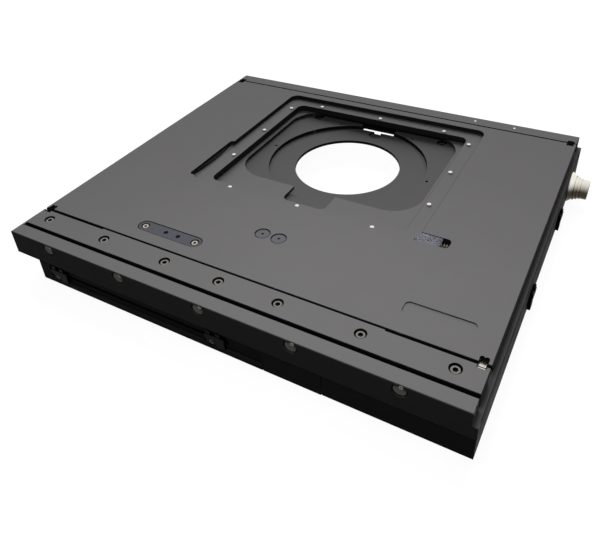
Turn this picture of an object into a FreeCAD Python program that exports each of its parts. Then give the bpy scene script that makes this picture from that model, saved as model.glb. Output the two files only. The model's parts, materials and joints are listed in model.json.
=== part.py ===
# Motorised xy stage for a microscope: a fixed base plate, a carriage that slides
# front to back on it, and a top plate that slides left to right on the carriage.
import FreeCAD
import Part
import Sketcher
import math
import os

os.makedirs("parts", exist_ok=True)
doc = FreeCAD.newDocument("xy_stage")

# Driving dimensions in millimetres.  x = 0 is the optical axis, y = 0 the front
# face and z = 0 the underside of the base; each piece is then shifted as a whole.
driving = {
    # the whole stage and its levels
    "plate_length": 315, "stage_depth": 288, "overall_height": 33.5, "ledge_reach": 3,
    "plate_thickness": 8.5, "running_gap": 0.5, "carriage_thickness": 8.6, "web_thickness": 2.5,
    "base_sheet": 5.4, "housing_lift": 0.5,
    "edge_chamfer": 0.35, "seam_chamfer": 0.5, "fit_play": 0.1, "thread_play": 0.03,
    # front bar, strips and the slits between them
    "bar_depth": 9.5, "wide_slit": 2.5, "thin_slit": 1, "strip_depth": 18.2, "back_strip_depth": 12.2,
    "relief_start": 101.5, "slit_relief": 1.1, "relief_depth": 2, "slit_end": 1.9,
    "window_width": 5, "window_inset": 2, "window_reach": 3, "lobe_radius": 1.3, "lobe_pitch": 2.5,
    "dowel_radius": 1, "dowel_left": 76.5, "dowel_right": 108.5, "dowel_inset": 5.8,
    # fixed base
    "axis_y": 194.5, "hole_radius": 41.6, "seat_radius": 62.8, "seat_depth": 3,
    "ring_bolt_radius": 66.3, "ring_hole_radius": 1.1,
    "base_half": 108, "side_bar": 32, "bar_front": 86, "sheet_front": 112, "base_back": 268, "bar_round": 3,
    "tail_half": 15.5, "tail_front": 255.5, "tail_back": 262,
    "dimple_radius": 5.8, "dimple_reach": 56, "dimple_depth": 1.6,
    "bolt_x": 57.6, "bolt_y": 61.5, "bolt_radius": 2.7, "bolt_head_radius": 4.3, "bolt_head_depth": 2.6,
    # carriage
    "bay_half": 118.8, "bay_front": 41, "motor_bay_half": 50, "motor_bay_front": 66.5,
    "opening_half": 74, "opening_front": 142, "opening_back": 260, "opening_round": 24,
    "notch_left": 18.7, "notch_right": 15.6, "notch_front": 123.5, "notch_round": 5,
    # guides
    "rail_width": 5, "rail_height": 5.5, "rail_left": 151.2, "rail_right": 154.5,
    "groove_reach": 2.151, "rail_split": 0.8,
    "carriage_rail_front": 60, "carriage_rail_length": 224,
    "roller_radius": 1.45, "roller_length": 2.8, "cage_sheet": 0.4, "cage_height": 4.9, "cage_play": 0.15,
    "x_cage_length": 213, "y_cage_length": 116, "y_cage_middle": 175,
    # screws of the front strip and bar
    "bar_middle": -0.95,
    "strip_screw_y": 21.65, "head_radius": 2.75, "head_height": 3, "counterbore_radius": 3.6,
    "counterbore_depth": 4.4, "shank_radius": 1.5, "shank_hole": 1.7, "thread_depth": 6, "key_reach": 1.45,
    "preload_pitch": 61.2, "preload_drop": 4.65, "preload_bore": 4.4, "preload_depth": 7.4,
    "preload_head": 3.5, "preload_head_length": 1.8, "preload_shank": 2.1,
    "preload_key_reach": 2, "preload_key_depth": 1.2,
    # top plate
    "recess_half": 89.5, "recess_front": 109, "recess_back": 267, "recess_depth": 3.6, "recess_round": 7,
    "rim_chamfer": 0.25, "frame_middle": 0.5, "frame_half": 77.6, "frame_front": 117.1, "frame_back": 256.7,
    "frame_round": 6,
    "pin_radius": 1.25, "pin_proud": 0.3, "pin_lift": 0.2,
    "side_pin_x": 81.4, "side_pin_middle": 200.1, "side_pin_pitch": 46.2,
    "end_pin_front": 112.9, "end_pin_back": 259.7, "end_pin_pitch": 56.8,
    "oval_middle": 57.4, "oval_y": 45.5, "oval_radius": 5.2, "oval_depth": 2.5, "oval_screw_pitch": 41.3,
    "oval_head_radius": 2.15, "oval_head_depth": 1.5, "oval_shank": 1.2, "oval_thread_depth": 1.7,
    "oval_key_reach": 0.95, "oval_seat_play": 0.5, "accessory_hole": 1.6, "accessory_pitch": 10,
    "accessory_shift": 1.9, "sunk": 0.25, "inlay_gap": 0.25,
    "plug_radius": 5.1, "plug_depth": 1.2, "plug_y": 72.4, "plug_middle": 4.1, "plug_pitch": 12.2,
    "plug_hole": 0.9, "plug_hole_depth": 0.7,
    "panel_left": 103.5, "panel_right": 144, "panel_front": 45.3, "panel_back": 55.8,
    "panel_depth": 0.6, "panel_round": 3,
    "leaf_slot": 3.1, "leaf_front": 111.8, "leaf_back": 168, "leaf_depth": 3.4, "leaf_round": 2.5,
    "leaf_sheet": 0.4, "leaf_bow": 1.9, "leaf_height": 2,
    # sample clamp
    "clamp_front": 108.9, "clamp_back": 118.4, "clamp_end": 109.6, "clamp_depth": 5, "clamp_length": 16,
    "clamp_nose": 1.5, "clamp_inlet": 2, "clamp_sunk": 0.3, "clamp_side_play": 0.2, "clamp_round": 3,
    "clamp_block_round": 1.5, "clamp_screw_x": 95.7, "clamp_screw_y": 112.8, "clamp_travel": 4,
    "clamp_head": 1.5, "clamp_head_height": 1.4, "clamp_shank": 1, "clamp_key_reach": 0.75,
    "clamp_key_depth": 0.7, "clamp_guide": 2.4, "clamp_guide_play": 0.2,
    "spring_radius": 1.45, "spring_wire": 0.5, "spring_pitch": 1.8, "spring_bore": 2, "spring_bore_depth": 3,
    # linear motors and their scales
    "coil_half": 38, "coil_front": 42, "coil_back": 62, "coil_flange_half": 46, "coil_flange": 3,
    "coil_play": 0.4, "coil_sunk": 0.2, "magnet_sheet": 1.7, "magnet_gap": 1.6, "yoke_sheet": 2,
    "x_yoke_half": 102, "air_gap": 1,
    "x_head_left": 80, "x_head_right": 60, "x_head_front": 37.2, "x_head_back": 40.8, "x_head_depth": 7,
    "x_scale_left": 140, "x_scale_right": 3, "scale_sheet": 0.5, "scale_play": 0.2,
    "y_magnet_low": 2.5, "y_magnet_high": 13.5, "y_magnet_front": 98, "y_magnet_back": 264,
    "y_magnet_inset": 0.5,
    "y_coil_front": 145, "y_coil_length": 60, "y_scale_low": 5, "y_scale_high": 11,
    "y_head_back": 185, "y_head_length": 20, "y_head_low": 4, "y_head_high": 13.4, "y_head_gap": 2.2,
    "y_head_reach": 20, "y_flange_near": 12, "y_flange_far": 26,
    # housing under the carriage
    "housing_left": 136.75, "housing_front_depth": 40, "housing_side": 126, "housing_wall": 4,
    "housing_floor": 2.4, "housing_front_wall": 11, "housing_side_wall": 11.5,
    "stop_rail_depth": 7, "first_seam": 40.6, "second_seam": 78.5, "seam_width": 0.5, "cover_sheet": 3.5,
    "side_rail_front": 45, "side_rail_length": 193,
    # stop rails and the travel stops on them
    "channel_start": 9.5, "channel_depth": 1.4, "lip_height": 4.4,
    "groove_low": 8.05, "groove_high": 10.45, "stop_groove_depth": 3.2,
    "x_groove_end": 154.2, "y_groove_start": 12, "y_groove_end": 188,
    "stop_length": 13.8, "stop_reach": 2.2, "stop_gap": 0.15, "stop_low": 4.7, "stop_high": 12.6,
    "tongue_play": 0.2, "tongue_reach": 2.9,
    "lug_rise": 2.7, "lug_start": 0.9, "lug_width": 3.2, "lug_pitch": 6.8, "lug_step": 0.3,
    "stop_seat_width": 8.2, "stop_seat_high": 9.2, "stop_seat_depth": 0.9,
    "stop_screw_x": 4, "stop_screw_height": 6.6, "stop_screw_radius": 1.35, "stop_screw_tip": 0.05,
    "stop_screw_proud": 0.3, "stop_key_reach": 0.8, "stop_key_depth": 0.7,
    "x_stop_left_at": 125.6, "x_stop_right_at": 1.9, "y_stop_front_at": 109.4, "y_stop_back_at": 197.6,
    # round socket on the right side
    "connector_y": 247.5, "connector_z": 12, "connector_reach": 13.4, "connector_radius": 7.3,
    "connector_flange": 11.4, "connector_neck": 3.6, "connector_tail": 8.5, "flange_sheet": 0.9,
    "collar_start": 3.6, "collar_radius": 9.35, "collar_width": 1.1, "collar_pitch": 2.15,
    "collar_fall": 0.75, "collar_groove": 0.9, "collar_slope": 0.25,
    "barrel_wall": 1, "socket_floor": 4, "insert_height": 3.5,
    "contact_radius": 0.5, "contact_ring": 3.6, "contact_sunk": 1.5,
}
strip_screw_offsets = (-143, -92, -41, 0, 41, 92, 143)
preload_steps = (-2, -1, 0, 1, 2)
ring_hole_count = 6
x_roller_count = 11
y_roller_count = 7
magnet_count = 12

sheet = doc.addObject("Spreadsheet::Sheet", "sizes")
for row, (alias, number) in enumerate(driving.items(), start=1):
    sheet.set(f"A{row}", alias)
    sheet.set(f"B{row}", str(number))
    sheet.setAlias(f"B{row}", alias)
doc.recompute()


class Size:
    # A length that knows both its expression over the sheet and its present value.
    def __init__(self, text, value):
        self.text = text
        self.value = value

    def joined(self, sign, other, value):
        return Size(f"({self.text} {sign} {as_size(other).text})", value)

    def __add__(self, other):
        return self.joined("+", other, self.value + as_size(other).value)

    def __sub__(self, other):
        return self.joined("-", other, self.value - as_size(other).value)

    def __mul__(self, other):
        return self.joined("*", other, self.value * as_size(other).value)

    def __truediv__(self, other):
        return self.joined("/", other, self.value / as_size(other).value)

    def __neg__(self):
        return Size(f"(-1 * {self.text})", -self.value)


def as_size(item):
    return item if isinstance(item, Size) else Size(repr(float(item)), float(item))


def cell(alias):
    return Size(f"sizes.{alias}", float(sheet.get(alias)))


# Levels and places that follow from the driving dimensions.
past = as_size(1)  # how far a cut runs on beyond the face it leaves by
top = cell("overall_height")
half = cell("plate_length") / 2
side = half + cell("ledge_reach")
depth = cell("stage_depth")
plate_low = top - cell("plate_thickness")
deck = plate_low - cell("running_gap")
carriage_low = deck - cell("carriage_thickness")
web_low = deck - cell("web_thickness")
base_top = web_low - cell("running_gap")
sheet_low = base_top - cell("base_sheet")
seat = base_top - cell("seat_depth")
housing_low = cell("housing_lift")
strip_front = cell("bar_depth") + cell("wide_slit")
strip_back = strip_front + cell("strip_depth")
plate_front = strip_back + cell("thin_slit")
back_strip_front = depth - cell("back_strip_depth")
plate_back = back_strip_front - cell("thin_slit")
ledge = top - cell("recess_depth")
rail_lip = (cell("thin_slit") - cell("rail_split")) / 2
undercut = cell("rail_width") - rail_lip
undercut_top = plate_low + cell("rail_height") + cell("fit_play")
y_rail_low = base_top - cell("rail_height")
x_magnet_low = deck - cell("coil_sunk") + cell("air_gap")
x_yoke_low = x_magnet_low + cell("magnet_sheet")
x_yoke_top = x_yoke_low + cell("yoke_sheet")
oval_screw_places = [cell("oval_screw_pitch") * sign / 2 - cell("oval_middle") for sign in (-1, 1)]
plug_places = [cell("plug_middle") + cell("plug_pitch") * sign / 2 for sign in (-1, 1)]
strip_screw_places = [(cell("bar_middle") + x, cell("strip_screw_y")) for x in strip_screw_offsets]
preload_places = [(cell("bar_middle") + cell("preload_pitch") * step, top - cell("preload_drop"))
                  for step in preload_steps]
levelling_places = []
for step in (-1, 0, 1):
    pin_y = cell("side_pin_middle") + cell("side_pin_pitch") * step
    pin_x = cell("frame_middle") + cell("end_pin_pitch") * step
    levelling_places += [(cell("frame_middle") + cell("side_pin_x") * sign, pin_y) for sign in (-1, 1)]
    levelling_places += [(pin_x, cell("end_pin_front")), (pin_x, cell("end_pin_back"))]

# The origin is under the middle of the whole stage, its connector and stops included.
shift_x = -(cell("connector_reach") + side - half) / 2
shift_y = -(depth + cell("channel_depth") - cell("stop_reach")) / 2
pieces = []


def place(piece, x=0, y=0, z=0, turn=0, axis=(0, 0, 1)):
    piece.setExpression("Placement.Base.x", (as_size(x) + shift_x).text)
    piece.setExpression("Placement.Base.y", (as_size(y) + shift_y).text)
    piece.setExpression("Placement.Base.z", as_size(z).text)
    if turn:
        for name, part in zip("xyz", axis):
            piece.setExpression(f"Placement.Rotation.Axis.{name}", str(part))
        piece.setExpression("Placement.Rotation.Angle", str(turn))
    pieces.append(piece)


def new_body(label, x=0, y=0, z=0, turn=0, axis=(0, 0, 1)):
    piece = doc.addObject("PartDesign::Body", label)
    piece.Label = label
    place(piece, x, y, z, turn, axis)
    return piece


def new_sketch(piece, plane, offset):
    sketch = piece.newObject("Sketcher::SketchObject", piece.Label + "_sketch")
    support = next(item for item in piece.Origin.OriginFeatures if item.Role == plane)
    sketch.AttachmentSupport = (support, [""])
    sketch.MapMode = "FlatFace"
    sketch.setExpression("AttachmentOffset.Base.z", as_size(offset).text)
    return sketch


def fix_point(sketch, line, end, x, y):
    for kind, axis, distance in (("DistanceX", -2, as_size(x)), ("DistanceY", -1, as_size(y))):
        if distance.value == 0:
            sketch.addConstraint(Sketcher.Constraint("PointOnObject", line, end, axis))
            continue
        if distance.value > 0:
            rule = Sketcher.Constraint(kind, -1, 1, line, end, distance.value)
        else:
            distance = -distance
            rule = Sketcher.Constraint(kind, line, end, -1, 1, distance.value)
        number = sketch.addConstraint(rule)
        sketch.setExpression(f"Constraints[{number}]", distance.text)


def fix_radius(sketch, curve, radius):
    number = sketch.addConstraint(Sketcher.Constraint("Radius", curve, radius.value))
    sketch.setExpression(f"Constraints[{number}]", radius.text)


def outline(sketch, corners):
    first = sketch.GeometryCount
    spots = [FreeCAD.Vector(as_size(x).value, as_size(y).value, 0) for x, y in corners]
    count = len(spots)
    for index in range(count):
        sketch.addGeometry(Part.LineSegment(spots[index], spots[(index + 1) % count]))
    for index in range(count):
        following = first + (index + 1) % count
        sketch.addConstraint(Sketcher.Constraint("Coincident", first + index, 2, following, 1))
    for index, (x, y) in enumerate(corners):
        fix_point(sketch, first + index, 1, x, y)


def corners_of(left, right, low, high):
    return [(left, low), (right, low), (right, high), (left, high)]


def rectangle(sketch, left, right, low, high):
    outline(sketch, corners_of(left, right, low, high))


def circle(sketch, x, y, radius):
    radius = as_size(radius)
    middle = FreeCAD.Vector(as_size(x).value, as_size(y).value, 0)
    curve = sketch.addGeometry(Part.Circle(middle, FreeCAD.Vector(0, 0, 1), radius.value))
    fix_point(sketch, curve, 3, x, y)
    fix_radius(sketch, curve, radius)


def around(x, y, radius, count):
    # Evenly spaced places on a circle.
    turns = [2 * math.pi * step / count for step in range(count)]
    return [(as_size(x) + radius * math.cos(turn), as_size(y) + radius * math.sin(turn)) for turn in turns]


def hexagon(sketch, x, y, reach):
    outline(sketch, around(x, y, reach, 6))


def stadium(sketch, left, right, y, radius):
    # Two half circles with centres at left and right, joined by two lines.
    radius = as_size(radius)
    upward = FreeCAD.Vector(0, 0, 1)
    start = FreeCAD.Vector(as_size(left).value, as_size(y).value, 0)
    finish = FreeCAD.Vector(as_size(right).value, as_size(y).value, 0)
    rise = FreeCAD.Vector(0, radius.value, 0)
    quarter = math.pi / 2
    upper = sketch.addGeometry(Part.LineSegment(start + rise, finish + rise))
    round_end = Part.Circle(finish, upward, radius.value)
    nose = sketch.addGeometry(Part.ArcOfCircle(round_end, -quarter, quarter))
    lower = sketch.addGeometry(Part.LineSegment(finish - rise, start - rise))
    rear = Part.Circle(start, upward, radius.value)
    tail = sketch.addGeometry(Part.ArcOfCircle(rear, quarter, 3 * quarter))
    for joint in ((upper, 2, nose, 2), (nose, 1, lower, 1), (lower, 2, tail, 2), (tail, 1, upper, 1)):
        sketch.addConstraint(Sketcher.Constraint("Tangent", *joint))
    fix_point(sketch, tail, 3, left, y)
    fix_point(sketch, nose, 3, right, y)
    for arc in (nose, tail):
        fix_radius(sketch, arc, radius)


def pad(piece, sketch, length):
    feature = piece.newObject("PartDesign::Pad", piece.Label + "_pad")
    feature.Profile = sketch
    feature.setExpression("Length", as_size(length).text)


def pocket(piece, sketch, length, upward=False):
    # Cuts against the sketch's normal, or along it when upward is set.
    doc.recompute()
    before = piece.Shape.Volume
    feature = piece.newObject("PartDesign::Pocket", piece.Label + "_pocket")
    feature.Profile = sketch
    feature.setExpression("Length", as_size(length).text)
    feature.Reversed = upward
    doc.recompute()
    if piece.Shape.Volume >= before:
        raise RuntimeError(f"{piece.Label}: a pocket removed nothing")


def revolve(piece, sketch):
    feature = piece.newObject("PartDesign::Revolution", piece.Label + "_turn")
    feature.Profile = sketch
    feature.ReferenceAxis = (sketch, ["V_Axis"])
    feature.Angle = 360


def drill(piece, plane, offset, spots, radius, length, upward=False):
    holes = new_sketch(piece, plane, offset)
    for x, y in spots:
        circle(holes, x, y, radius)
    pocket(piece, holes, length, upward)


def rods(piece, plane, offset, spots, radius, length):
    ends = new_sketch(piece, plane, offset)
    for x, y in spots:
        circle(ends, x, y, radius)
    pad(piece, ends, length)


def cut_rectangle(piece, offset, left, right, low, high, length, upward=False):
    plan = new_sketch(piece, "XY_Plane", offset)
    rectangle(plan, left, right, low, high)
    pocket(piece, plan, length, upward)


def dress(piece, kind, measure, amount, wanted):
    doc.recompute()
    base = piece.Tip
    edges = [f"Edge{number}" for number, edge in enumerate(base.Shape.Edges, start=1) if wanted(edge)]
    feature = piece.newObject("PartDesign::" + kind, piece.Label + "_" + kind.lower())
    feature.Base = (base, edges)
    feature.setExpression(measure, as_size(amount).text)
    doc.recompute()


def round_corners(piece, radius, spots):
    # Rounds the upright edges that stand at the given x, y places.
    targets = [(as_size(x).value, as_size(y).value) for x, y in spots]

    def wanted(edge):
        ends = [vertex.Point for vertex in edge.Vertexes]
        if len(ends) != 2 or abs(ends[0].z - ends[1].z) < 0.01:
            return False
        return all(any(math.hypot(end.x - x, end.y - y) < 0.05 for x, y in targets) for end in ends)

    dress(piece, "Fillet", "Radius", radius, wanted)


def break_edges(piece, size, z, x_sides=(), y_sides=()):
    # Chamfers the level straight edges at height z that lie on the given sides.
    height = as_size(z).value
    x_values = [as_size(x).value for x in x_sides]
    y_values = [as_size(y).value for y in y_sides]

    def wanted(edge):
        ends = [vertex.Point for vertex in edge.Vertexes]
        if len(ends) != 2 or any(abs(end.z - height) > 0.01 for end in ends):
            return False
        on_x = any(all(abs(end.x - x) < 0.01 for end in ends) for x in x_values)
        on_y = any(all(abs(end.y - y) < 0.01 for end in ends) for y in y_values)
        return on_x or on_y

    dress(piece, "Chamfer", "Size", size, wanted)


def break_rims(piece, size, rims):
    # Chamfers every level edge at the height of each rim, within the rim's rectangle.
    limits = [(as_size(z).value, [as_size(limit).value for limit in plan]) for z, plan in rims]
    slack = 0.01

    def on_rim(end, height, left, right, low, high):
        inside_x = left - slack < end.x < right + slack
        inside_y = low - slack < end.y < high + slack
        return abs(end.z - height) < slack and inside_x and inside_y

    def wanted(edge):
        ends = [vertex.Point for vertex in edge.Vertexes]
        return any(all(on_rim(end, height, *plan) for end in ends) for height, plan in limits)

    dress(piece, "Chamfer", "Size", size, wanted)


def block(label, left, right, front, back, low, high):
    piece = doc.addObject("Part::Box", label)
    piece.Label = label
    piece.setExpression("Length", (as_size(right) - left).text)
    piece.setExpression("Width", (as_size(back) - front).text)
    piece.setExpression("Height", (as_size(high) - low).text)
    place(piece, left, front, low)


# The fixed base: a sheet between two side bars, with a round seat and the objective hole.
def make_base_plate():
    outer = cell("base_half")
    inner = outer - cell("side_bar")
    back = cell("base_back")
    axis_y = cell("axis_y")
    through = cell("base_sheet") + past
    piece = new_body("base_plate")
    plan = new_sketch(piece, "XY_Plane", sheet_low)
    rectangle(plan, -outer, outer, cell("sheet_front"), back)
    pad(piece, plan, cell("base_sheet"))
    bars = new_sketch(piece, "XY_Plane", 0)
    rectangle(bars, -outer, -inner, cell("bar_front"), back)
    rectangle(bars, inner, outer, cell("bar_front"), back)
    pad(piece, bars, base_top)
    round_corners(piece, cell("bar_round"), [(-inner, cell("bar_front")), (inner, cell("bar_front"))])
    drill(piece, "XY_Plane", base_top, [(0, axis_y)], cell("seat_radius"), cell("seat_depth"))
    tail = cell("tail_half")
    cut_rectangle(piece, base_top, -tail, tail, cell("tail_front"), cell("tail_back"), through)
    dimple_y = axis_y + cell("dimple_reach")
    drill(piece, "XY_Plane", seat, [(0, dimple_y)], cell("dimple_radius"), cell("dimple_depth"))
    drill(piece, "XY_Plane", base_top, [(0, axis_y)], cell("hole_radius"), through)
    ring = around(0, axis_y, cell("ring_bolt_radius"), ring_hole_count)
    drill(piece, "XY_Plane", base_top, ring, cell("ring_hole_radius"), through)
    bolts = corners_of(-cell("bolt_x"), cell("bolt_x"), axis_y - cell("bolt_y"), axis_y + cell("bolt_y"))
    drill(piece, "XY_Plane", base_top, bolts, cell("bolt_head_radius"), cell("bolt_head_depth"))
    drill(piece, "XY_Plane", base_top, bolts, cell("bolt_radius"), through)


# A rail bar with a V groove along its face; the profile is drawn across its length.
def make_rail(label, along, face, outward, low, start, length):
    high = low + cell("rail_height")
    middle = low + cell("rail_height") / 2
    opening = cell("groove_reach") - cell("rail_split") / 2
    back = face - cell("rail_width") * outward
    root = face - opening * outward
    piece = new_body(label)
    if along == "x":
        profile = new_sketch(piece, "YZ_Plane", start)
    else:
        profile = new_sketch(piece, "XZ_Plane", -(start + length))
    outline(profile, [(back, low), (face, low), (face, middle - opening), (root, middle),
                      (face, middle + opening), (face, high), (back, high)])
    pad(piece, profile, length)


def make_rails():
    inner_face = cell("base_half") + cell("rail_width")
    outer_face = inner_face + cell("rail_split")
    base_span = (y_rail_low, cell("bar_front"), cell("base_back") - cell("bar_front"))
    carriage_span = (y_rail_low, cell("carriage_rail_front"), cell("carriage_rail_length"))
    x_span = (plate_low, -cell("rail_left"), cell("rail_left") + cell("rail_right"))
    make_rail("base_rail_left", "y", -inner_face, -1, *base_span)
    make_rail("base_rail_right", "y", inner_face, 1, *base_span)
    make_rail("carriage_rail_left", "y", -outer_face, 1, *carriage_span)
    make_rail("carriage_rail_right", "y", outer_face, -1, *carriage_span)
    make_rail("strip_rail_front", "x", strip_back + rail_lip, 1, *x_span)
    make_rail("plate_rail_front", "x", plate_front - rail_lip, -1, *x_span)
    make_rail("plate_rail_back", "x", plate_back + rail_lip, 1, *x_span)
    make_rail("strip_rail_back", "x", back_strip_front - rail_lip, -1, *x_span)


# A crossed-roller cage: a thin strip with windows, and rollers that lean left and right in turn.
def make_cage(name, along, across, height, middle, length, count):
    sheet_half = cell("cage_sheet") / 2
    if along == "x":
        plane, offset = "XZ_Plane", -(across + sheet_half)
    else:
        plane, offset = "YZ_Plane", across - sheet_half
    tall = cell("cage_height") / 2
    strip = new_body(name + "_strip")
    face = new_sketch(strip, plane, offset)
    rectangle(face, middle - length / 2, middle + length / 2, height - tall, height + tall)
    pad(strip, face, cell("cage_sheet"))
    gap_half = cell("roller_radius") + cell("cage_play")
    gap_tall = (cell("roller_radius") * 2 + cell("roller_length")) / (2 * math.sqrt(2)) + cell("cage_play")
    pitch = length / (count + 1)
    places = [middle + pitch * (step + 1) - length / 2 for step in range(count)]
    windows = new_sketch(strip, plane, offset)
    for spot in places:
        rectangle(windows, spot - gap_half, spot + gap_half, height - gap_tall, height + gap_tall)
    pocket(strip, windows, cell("cage_sheet"), upward=True)

    rollers = []
    for step, spot in enumerate(places):
        roller = doc.addObject("Part::Cylinder", name + "_roller")
        roller.setExpression("Radius", cell("roller_radius").text)
        roller.setExpression("Height", cell("roller_length").text)
        lean = 1 if step % 2 else -1
        if along == "x":
            tilt = FreeCAD.Vector(0, 1, lean).normalize()
            centre = FreeCAD.Vector(spot.value, across.value, height.value)
        else:
            tilt = FreeCAD.Vector(1, 0, lean).normalize()
            centre = FreeCAD.Vector(across.value, spot.value, height.value)
        turn = FreeCAD.Rotation(FreeCAD.Vector(0, 0, 1), tilt)
        roller.Placement = FreeCAD.Placement(centre - tilt * (cell("roller_length").value / 2), turn)
        rollers.append(roller)
    group = doc.addObject("Part::Compound", name + "_rollers")
    group.Label = name + "_rollers"
    group.Links = rollers
    place(group)


def make_cages():
    side_gap = cell("base_half") + cell("rail_width") + cell("rail_split") / 2
    y_height = y_rail_low + cell("rail_height") / 2
    x_height = plate_low + cell("rail_height") / 2
    y_span = (y_height, cell("y_cage_middle"), cell("y_cage_length"), y_roller_count)
    x_span = (x_height, as_size(0), cell("x_cage_length"), x_roller_count)
    make_cage("y_cage_left", "y", -side_gap, *y_span)
    make_cage("y_cage_right", "y", side_gap, *y_span)
    make_cage("x_cage_front", "x", strip_back + cell("thin_slit") / 2, *x_span)
    make_cage("x_cage_back", "x", plate_back + cell("thin_slit") / 2, *x_span)


# The carriage: a deck with a thin web over the base, a raised front bar and an opening.
def make_carriage_frame():
    bay = cell("bay_half")
    bay_front = cell("bay_front")
    motor = cell("motor_bay_half")
    motor_front = cell("motor_bay_front")
    opening = cell("opening_half")
    opening_front = cell("opening_front")
    opening_back = cell("opening_back")
    notch_left = -cell("notch_left")
    notch_right = cell("notch_right")
    notch_front = cell("notch_front")
    through_web = cell("web_thickness") + past
    piece = new_body("carriage_frame")
    plan = new_sketch(piece, "XY_Plane", carriage_low)
    rectangle(plan, -half, side, 0, depth)
    pad(piece, plan, cell("carriage_thickness"))
    bar = new_sketch(piece, "XY_Plane", deck)
    rectangle(bar, -half, half, 0, cell("bar_depth"))
    pad(piece, bar, top - deck)
    break_edges(piece, cell("edge_chamfer"), top, (-half, half), (0, cell("bar_depth")))
    break_edges(piece, cell("edge_chamfer"), deck, (side,))
    base_bay = new_sketch(piece, "XY_Plane", carriage_low)
    outline(base_bay, [(-bay, bay_front), (-motor, bay_front), (-motor, motor_front), (motor, motor_front),
                       (motor, bay_front), (bay, bay_front), (bay, depth + past), (-bay, depth + past)])
    pocket(piece, base_bay, web_low - carriage_low, upward=True)
    window = (-opening, opening, opening_front, opening_back)
    cut_rectangle(piece, deck, *window, through_web)
    round_corners(piece, cell("opening_round"), corners_of(*window))
    cut_rectangle(piece, deck, notch_left, notch_right, notch_front, opening_front + past, through_web)
    round_corners(piece, cell("notch_round"), [(notch_left, notch_front), (notch_right, notch_front)])
    play = cell("coil_play")
    cut_rectangle(piece, deck, -cell("coil_half") - play, cell("coil_half") + play,
                  cell("coil_front") - play, cell("coil_back") + play, cell("carriage_thickness") + past)
    play = cell("scale_play")
    cut_rectangle(piece, deck, -cell("x_head_left") - play, -cell("x_head_right") + play,
                  cell("x_head_front") - play, cell("x_head_back") + play, cell("x_head_depth"))
    thread = cell("shank_radius") + cell("thread_play")
    drill(piece, "XY_Plane", deck, strip_screw_places, thread, cell("thread_depth"))
    thread = cell("preload_shank") + cell("thread_play")
    drill(piece, "XZ_Plane", 0, preload_places, cell("preload_bore"), cell("preload_depth"))
    drill(piece, "XZ_Plane", 0, preload_places, thread, cell("bar_depth") + past)


def cut_rail_windows(piece, edge, inward):
    # Small windows near both ends of a slit, open down to the rail under the edge.
    near = half - cell("window_inset")
    far = near - cell("window_width")
    inner = edge + cell("window_reach") * inward
    outer = edge - past * inward
    front, back = (outer, inner) if inward > 0 else (inner, outer)
    plan = new_sketch(piece, "XY_Plane", top)
    rectangle(plan, far, near, front, back)
    rectangle(plan, -near, -far, front, back)
    pocket(piece, plan, top - undercut_top)


def make_strips():
    inner = strip_back - undercut
    front = new_body("front_strip")
    profile = new_sketch(front, "YZ_Plane", -half)
    outline(profile, [(strip_front, deck), (inner, deck), (inner, undercut_top),
                      (strip_back, undercut_top), (strip_back, top), (strip_front, top)])
    pad(front, profile, half * 2)
    lug = new_sketch(front, "XY_Plane", deck)
    rectangle(lug, -half, cell("slit_end") - half, cell("bar_depth") + cell("fit_play"), strip_front + past)
    pad(front, lug, top - deck)
    break_edges(front, cell("edge_chamfer"), top, (-half, half), (strip_front, strip_back))
    drill(front, "XY_Plane", top, strip_screw_places, cell("counterbore_radius"), cell("counterbore_depth"))
    drill(front, "XY_Plane", top, strip_screw_places, cell("shank_hole"), top - deck + past)
    relief = new_sketch(front, "XY_Plane", top)
    relief_front = strip_back - cell("slit_relief")
    rectangle(relief, cell("relief_start"), half + past, relief_front, strip_back + past)
    rectangle(relief, -half - past, -cell("relief_start"), relief_front, strip_back + past)
    pocket(front, relief, cell("relief_depth"))
    cut_rail_windows(front, strip_back, -1)

    inner = back_strip_front + undercut
    back = new_body("back_strip")
    profile = new_sketch(back, "YZ_Plane", -half)
    outline(profile, [(depth, deck), (inner, deck), (inner, undercut_top),
                      (back_strip_front, undercut_top), (back_strip_front, top), (depth, top)])
    pad(back, profile, half * 2)
    break_edges(back, cell("edge_chamfer"), top, (-half, half), (back_strip_front, depth))
    dowels = [(cell(name), depth - cell("dowel_inset")) for name in ("dowel_left", "dowel_right")]
    drill(back, "XY_Plane", top, dowels, cell("dowel_radius"), top - deck + past)
    cut_rail_windows(back, back_strip_front, 1)

    pins = new_body("back_strip_dowels")
    rods(pins, "XY_Plane", deck, dowels, cell("dowel_radius") - cell("thread_play"), top - deck)


# Socket head screws of one set: heads, shanks and hexagonal sockets, all along one direction.
def make_screws(label, plane, spots, head, head_from, head_length, shank, shank_from, key, key_depth):
    piece = new_body(label)
    rods(piece, plane, head_from, spots, head, head_length)
    rods(piece, plane, shank_from, spots, shank, head_from - shank_from)
    sockets = new_sketch(piece, plane, head_from + head_length)
    for x, y in spots:
        hexagon(sockets, x, y, key)
    pocket(piece, sockets, key_depth)


def make_strip_screws():
    head_low = top - cell("counterbore_depth")
    make_screws("strip_screws", "XY_Plane", strip_screw_places, cell("head_radius"), head_low,
                cell("head_height"), cell("shank_radius"), deck - cell("thread_depth"), cell("key_reach"),
                cell("head_height") / 2)


def make_preload_screws():
    # Screws that lie in the front bar and push the front strip towards the plate.
    make_screws("preload_screws", "XZ_Plane", preload_places, cell("preload_head"), -cell("preload_depth"),
                cell("preload_head_length"), cell("preload_shank"), -strip_front, cell("preload_key_reach"),
                cell("preload_key_depth"))


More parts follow.
